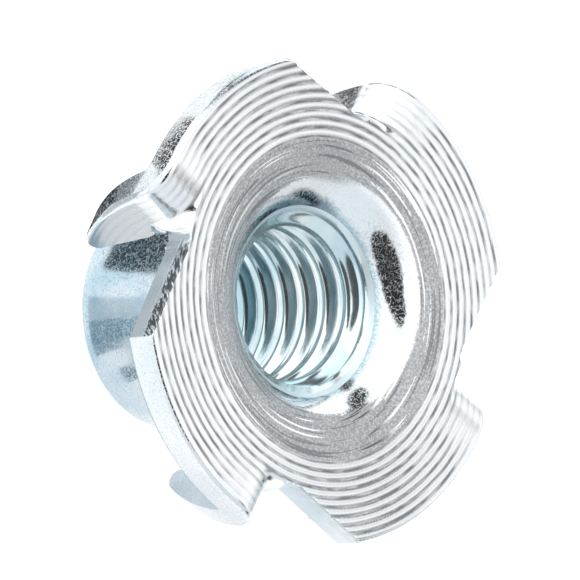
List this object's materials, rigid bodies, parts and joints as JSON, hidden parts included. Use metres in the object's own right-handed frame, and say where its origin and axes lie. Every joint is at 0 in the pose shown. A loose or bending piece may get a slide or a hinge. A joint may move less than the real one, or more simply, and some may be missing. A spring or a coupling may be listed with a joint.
{
  "type": "tee nut",
  "caption": "Prong tee nut: a round dished flange with prongs folded down from its rim, and a threaded barrel below it.",
  "frame": {"origin": "on the barrel's axis, in the plane of the barrel's end, which the nut stands on", "axes": "+Z along the barrel's axis, up towards the flange face; +X along the first prong's fold line"},
  "size_m": [0.0254, 0.0254, 0.0127],
  "materials": {
    "zinc_plate": "bright clear zinc plating over pressed steel, with fine ring marks on the face"
  },
  "bodies": {
    "root": {"tee_nut": "zinc_plate"}
  },
  "joints": []
}
